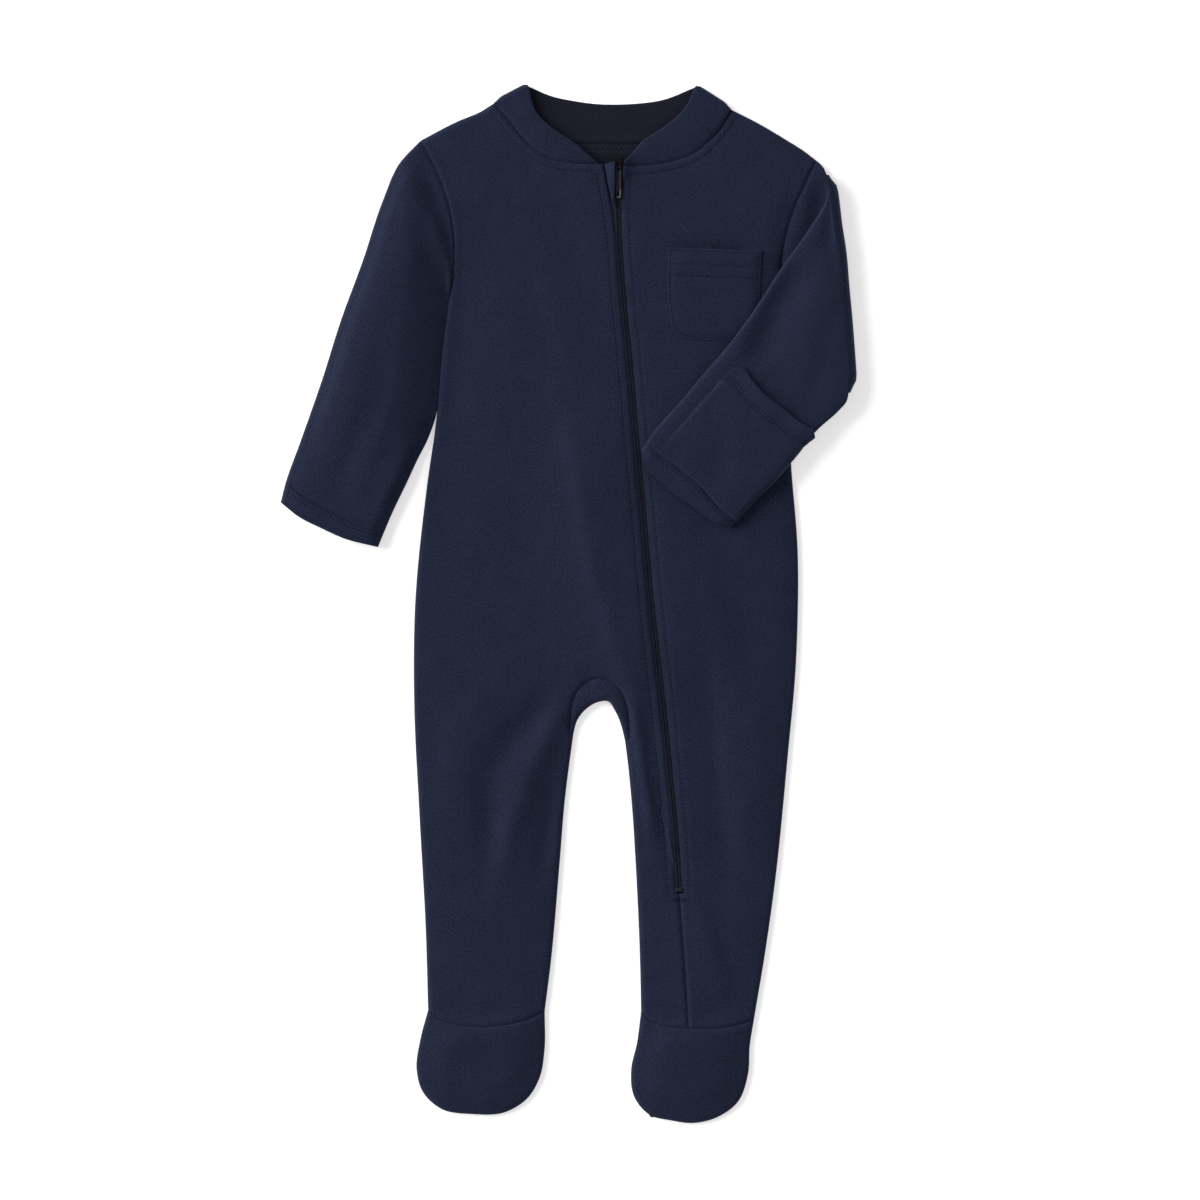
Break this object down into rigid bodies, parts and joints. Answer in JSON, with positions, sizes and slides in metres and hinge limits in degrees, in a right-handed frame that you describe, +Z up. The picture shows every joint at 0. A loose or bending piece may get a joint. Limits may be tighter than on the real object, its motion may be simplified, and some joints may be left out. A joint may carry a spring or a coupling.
{
  "type": "onesie pajama",
  "caption": "Baby's footed zip sleeper in cotton knit, laid flat: band collar, off-centre zip, chest pocket, crotch gusset, one sleeve folded across the chest.",
  "frame": {"origin": "middle of the flat underside, on the surface the garment lies on", "axes": "+Y along the garment to the collar, +X to the wearer's left, +Z up from the surface, out of the front"},
  "size_m": [0.3438, 0.6214, 0.0134],
  "materials": {
    "back_body": "cotton interlock knit, navy",
    "front_right": "cotton interlock knit, navy",
    "front_left": "cotton interlock knit, navy",
    "gusset": "cotton interlock knit, navy",
    "foot_upper_right": "cotton interlock knit, navy",
    "foot_sole_right": "cotton interlock knit, navy",
    "foot_upper_left": "cotton interlock knit, navy",
    "foot_sole_left": "cotton interlock knit, navy",
    "sleeve_right": "cotton interlock knit, navy",
    "sleeve_left": "cotton interlock knit, navy",
    "mitten_right": "cotton interlock knit, navy",
    "mitten_left": "cotton interlock knit, navy",
    "neckband": "cotton interlock knit, navy",
    "pocket": "cotton interlock knit, navy",
    "zip_tape_right": "woven zip tape, navy",
    "zip_tape_left": "woven zip tape, navy",
    "zip_chain": "coil zip, navy, satin",
    "zip_stop": "dark enamel",
    "zip_slider": "dark enamel",
    "zip_pull": "dark enamel",
    "zip_garage": "cotton interlock knit, navy"
  },
  "bodies": {
    "garment": {"back_body": "back_body", "front_right": "front_right", "front_left": "front_left", "gusset": "gusset", "foot_upper_right": "foot_upper_right", "foot_sole_right": "foot_sole_right", "foot_upper_left": "foot_upper_left", "foot_sole_left": "foot_sole_left", "sleeve_right": "sleeve_right", "sleeve_left": "sleeve_left", "mitten_right": "mitten_right", "mitten_left": "mitten_left", "neckband": "neckband", "pocket": "pocket", "zip_tape_right": "zip_tape_right", "zip_tape_left": "zip_tape_left", "zip_chain": "zip_chain", "zip_stop": "zip_stop", "zip_slider": "zip_slider", "zip_garage": "zip_garage"},
    "zip_pull": {"zip_pull": "zip_pull"}
  },
  "joints": [
    {"name": "pull_swing", "type": "hinge", "parent": "garment", "child": "zip_pull", "pos_m": [0.0303, 0.2619, 0.00685], "axis": [-1, 0, 0], "range_deg": [0, 170]}
  ]
}
